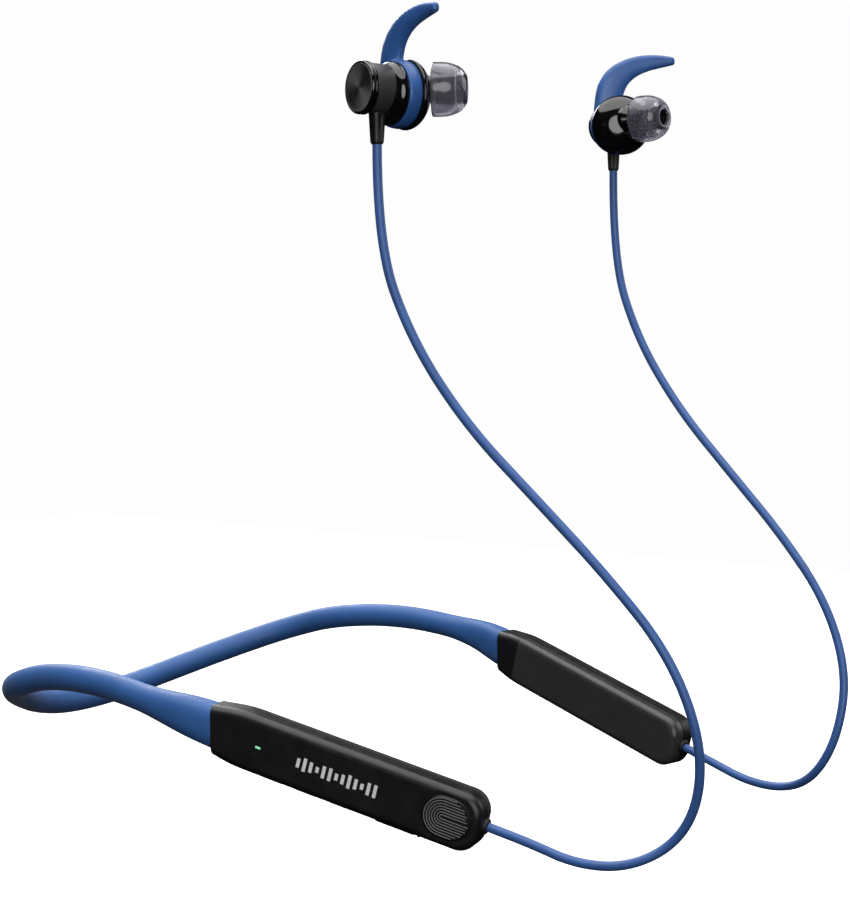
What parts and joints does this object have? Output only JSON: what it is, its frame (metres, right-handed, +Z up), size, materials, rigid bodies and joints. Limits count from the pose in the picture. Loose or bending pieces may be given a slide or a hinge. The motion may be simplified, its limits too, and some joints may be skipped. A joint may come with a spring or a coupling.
{
  "type": "neckband earphones",
  "caption": "Neck-worn earphones: flexible silicone band, slim control and battery pods, and in-ear buds with curved fins on soft leads.",
  "frame": {"origin": "on the inside of the band at its middle, where it rests on the nape of the neck", "axes": "+X to the wearer's left, -Y forward towards the wearer's chest, +Z up"},
  "size_m": [0.1502, 0.2392, 0.2029],
  "materials": {
    "sleeve_silicone": "matte silicone, fine moulded skin",
    "cord_jacket": "smooth satin jacket",
    "wing_silicone": "soft satin silicone",
    "spring_steel": "drawn wire",
    "lead_insulation": "smooth insulation",
    "pod_plastic": "fine spark-eroded matte",
    "key_plastic": "fine matte",
    "inner_plastic": "plain moulding",
    "board_laminate": "solder mask",
    "chip_package": "moulded package",
    "steel": "plated",
    "battery_wrap": "shrink wrap",
    "status_light": "translucent light pipe",
    "soft_black_rubber": "soft matte",
    "cap_metal": "spun anodised disc",
    "barrel_finish": "satin",
    "gloss_black": "polished",
    "magnet_metal": "plated",
    "driver_metal": "stamped",
    "mesh_metal": "woven mesh",
    "tip_silicone": "translucent silicone"
  },
  "bodies": {
    "band_centre": {"band_sleeve_centre": "sleeve_silicone", "memory_wire_centre": "spring_steel", "lead_bundle_centre": "lead_insulation"},
    "right_arm": {"band_sleeve_right": "sleeve_silicone", "memory_wire_right": "spring_steel", "lead_bundle_right": "lead_insulation", "core_clamp_right": "inner_plastic", "pod_outer_shell_right": "pod_plastic", "pod_inner_shell_right": "pod_plastic", "circuit_board": "board_laminate", "board_chips": "chip_package", "tactile_switches": "inner_plastic", "screws_right": "steel", "status_led": "status_light", "light_pipe": "status_light", "microphone": "steel", "charging_socket": "steel", "cover_tether": "soft_black_rubber", "cord_grommet_right": "soft_black_rubber", "earphone_cord_right": "cord_jacket"},
    "left_arm": {"band_sleeve_left": "sleeve_silicone", "memory_wire_left": "spring_steel", "lead_bundle_left": "lead_insulation", "core_clamp_left": "inner_plastic", "pod_outer_shell_left": "pod_plastic", "pod_inner_shell_left": "pod_plastic", "battery": "battery_wrap", "battery_board": "board_laminate", "vibration_motor": "steel", "screws_left": "steel", "cord_grommet_left": "soft_black_rubber", "earphone_cord_left": "cord_jacket"},
    "function_pad": {"function_pad": "key_plastic"},
    "volume_down_key": {"volume_down_key": "key_plastic"},
    "power_key": {"power_key": "key_plastic"},
    "volume_up_key": {"volume_up_key": "key_plastic"},
    "port_cover": {"port_cover": "soft_black_rubber"},
    "right_earbud": {"strain_relief_right": "soft_black_rubber", "earbud_cap_right": "cap_metal", "bud_magnet_right": "magnet_metal", "earbud_barrel_right": "barrel_finish", "speaker_driver_right": "driver_metal", "earbud_front_right": "gloss_black", "nozzle_mesh_right": "mesh_metal"},
    "right_ear_tip": {"ear_tip_right": "tip_silicone"},
    "right_ear_wing": {"ear_wing_right": "wing_silicone"},
    "left_earbud": {"strain_relief_left": "soft_black_rubber", "earbud_cap_left": "cap_metal", "bud_magnet_left": "magnet_metal", "earbud_barrel_left": "barrel_finish", "speaker_driver_left": "driver_metal", "earbud_front_left": "gloss_black", "nozzle_mesh_left": "mesh_metal"},
    "left_ear_tip": {"ear_tip_left": "tip_silicone"},
    "left_ear_wing": {"ear_wing_left": "wing_silicone"}
  },
  "joints": [
    {"name": "right_arm_flex", "type": "hinge", "parent": "band_centre", "child": "right_arm", "pos_m": [-0.03285, -0.0059, 0.00605], "axis": [0, 0, 1], "range_deg": [-25, 6], "stiffness_Nm_per_rad": 0.25},
    {"name": "left_arm_flex", "type": "hinge", "parent": "band_centre", "child": "left_arm", "pos_m": [0.03285, -0.0059, 0.00605], "axis": [0, 0, 1], "range_deg": [-6, 25], "stiffness_Nm_per_rad": 0.25},
    {"name": "function_pad_press", "type": "slide", "parent": "right_arm", "child": "function_pad", "axis": [0.9728, 0.2318, 0], "range_m": [0, 0.0003], "stiffness_N_per_m": 1500},
    {"name": "volume_down_key_press", "type": "slide", "parent": "right_arm", "child": "volume_down_key", "axis": [0.0588, -0.2467, 0.9673], "range_m": [0, 0.00025], "stiffness_N_per_m": 1500},
    {"name": "power_key_press", "type": "slide", "parent": "right_arm", "child": "power_key", "axis": [0.0588, -0.2467, 0.9673], "range_m": [0, 0.00025], "stiffness_N_per_m": 1500},
    {"name": "volume_up_key_press", "type": "slide", "parent": "right_arm", "child": "volume_up_key", "axis": [0.0588, -0.2467, 0.9673], "range_m": [0, 0.00025], "stiffness_N_per_m": 1500},
    {"name": "port_cover_hinge", "type": "hinge", "parent": "right_arm", "child": "port_cover", "pos_m": [-0.05697, -0.16395, -0.00521], "axis": [-0.9728, -0.2318, 0], "range_deg": [0, 110]},
    {"name": "right_earbud_twist", "type": "hinge", "parent": "right_arm", "child": "right_earbud", "pos_m": [-0.058, -0.1522, 0.1602], "axis": [0, 0, 1], "range_deg": [-60, 60]},
    {"name": "right_ear_tip_pull", "type": "slide", "parent": "right_earbud", "child": "right_ear_tip", "axis": [0.4848, -0.8746, 0], "range_m": [0, 0.006]},
    {"name": "right_ear_wing_turn", "type": "hinge", "parent": "right_earbud", "child": "right_ear_wing", "pos_m": [-0.05226, -0.1544, 0.1724], "axis": [0.9336, -0.3584, 0], "range_deg": [-25, 25]},
    {"name": "left_earbud_twist", "type": "hinge", "parent": "left_arm", "child": "left_earbud", "pos_m": [0.058, -0.1522, 0.1617], "axis": [0, 0, 1], "range_deg": [-60, 60]},
    {"name": "left_ear_tip_pull", "type": "slide", "parent": "left_earbud", "child": "left_ear_tip", "axis": [-0.1219, -0.9925, 0], "range_m": [0, 0.006]},
    {"name": "left_ear_wing_turn", "type": "hinge", "parent": "left_earbud", "child": "left_ear_wing", "pos_m": [0.0535, -0.15639, 0.1739], "axis": [-0.7314, -0.682, 0], "range_deg": [-25, 25]}
  ]
}
